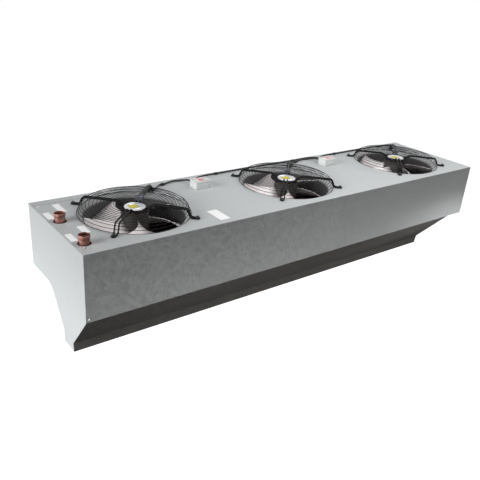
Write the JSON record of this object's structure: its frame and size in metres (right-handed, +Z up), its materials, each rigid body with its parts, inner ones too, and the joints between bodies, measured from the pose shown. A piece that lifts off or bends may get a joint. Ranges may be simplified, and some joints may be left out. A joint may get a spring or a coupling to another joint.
{
  "type": "air curtain",
  "caption": "Suspended water-heated air curtain: sheet-metal casing with top axial fans behind wire guards, heating coil, and a tapered slot nozzle that blows down.",
  "frame": {"origin": "centre of the four suspension nuts, on the top panel's upper face", "axes": "+X along the casing away from the pipe ends, +Y to the back, +Z up and out of the top"},
  "size_m": [2, 0.4714, 0.4591],
  "materials": {
    "zinc": "satin galvanised sheet",
    "zinc_inside": "dull galvanised sheet",
    "guard_black": "semi-gloss black coating",
    "blade_black": "gloss black coating",
    "bell_black": "semi-gloss black coating",
    "motor_silver": "cast, satin",
    "winding_copper": "lacquered copper and dark core",
    "bearing_steel": "ground",
    "shaft_steel": "ground",
    "fastener_steel": "zinc plated",
    "bolt_black": "blackened",
    "rivet_steel": "plain",
    "terminal_grey": "moulded",
    "fin_aluminium": "bright thin fins with a copper tint",
    "tube_copper": "drawn copper",
    "header_copper": "drawn copper, slightly tarnished",
    "plug_brass": "turned",
    "box_white": "moulded, with a plain red patch on the lid",
    "gland_grey": "moulded",
    "clip_black": "moulded",
    "cable_black": "extruded sheath",
    "label_white": "blank paper label, plain yellow on the motors"
  },
  "bodies": {
    "casing": {"top_panel": "zinc", "front_panel": "zinc", "back_panel": "zinc", "left_end_panel": "zinc", "right_end_panel": "zinc", "underside_panel": "zinc", "nozzle_front_plate": "zinc", "nozzle_rear_plate": "zinc", "nozzle_end_plate": "zinc", "partition_1": "zinc_inside", "partition_2": "zinc_inside", "suspension_nuts": "fastener_steel", "casing_rivets": "rivet_steel", "inlet_ring_1": "zinc", "inlet_ring_2": "zinc", "inlet_ring_3": "zinc", "guard_1": "guard_black", "guard_2": "guard_black", "guard_3": "guard_black", "guard_bolts": "bolt_black", "motor_flange_1": "motor_silver", "motor_flange_2": "motor_silver", "motor_flange_3": "motor_silver", "motor_stator_1": "winding_copper", "motor_stator_2": "winding_copper", "motor_stator_3": "winding_copper", "bearings_1": "bearing_steel", "bearings_2": "bearing_steel", "bearings_3": "bearing_steel", "motor_screws": "fastener_steel", "terminal_blocks": "terminal_grey", "coil_fins": "fin_aluminium", "coil_tubes": "tube_copper", "coil_end_plates": "zinc_inside", "coil_rails": "zinc_inside", "supply_header": "header_copper", "return_header": "header_copper", "header_plugs": "plug_brass", "junction_box_1": "box_white", "junction_box_2": "box_white", "junction_lid_1": "box_white", "junction_lid_2": "box_white", "lid_screws": "fastener_steel", "cable_glands": "gland_grey", "cable_clips": "clip_black", "fan_cable_1": "cable_black", "fan_cable_2": "cable_black", "fan_cable_3": "cable_black", "link_cable": "cable_black", "stickers": "label_white"},
    "impeller_1": {"rotor_bell_1": "bell_black", "blades_1": "blade_black", "motor_shaft_1": "shaft_steel"},
    "impeller_2": {"rotor_bell_2": "bell_black", "blades_2": "blade_black", "motor_shaft_2": "shaft_steel"},
    "impeller_3": {"rotor_bell_3": "bell_black", "blades_3": "blade_black", "motor_shaft_3": "shaft_steel"}
  },
  "joints": [
    {"name": "fan_1_spin", "type": "hinge", "parent": "casing", "child": "impeller_1", "pos_m": [-0.705, 0, 0], "axis": [0, 0, 1], "continuous": true},
    {"name": "fan_2_spin", "type": "hinge", "parent": "casing", "child": "impeller_2", "pos_m": [0.004, 0, 0], "axis": [0, 0, 1], "continuous": true},
    {"name": "fan_3_spin", "type": "hinge", "parent": "casing", "child": "impeller_3", "pos_m": [0.713, 0, 0], "axis": [0, 0, 1], "continuous": true}
  ]
}
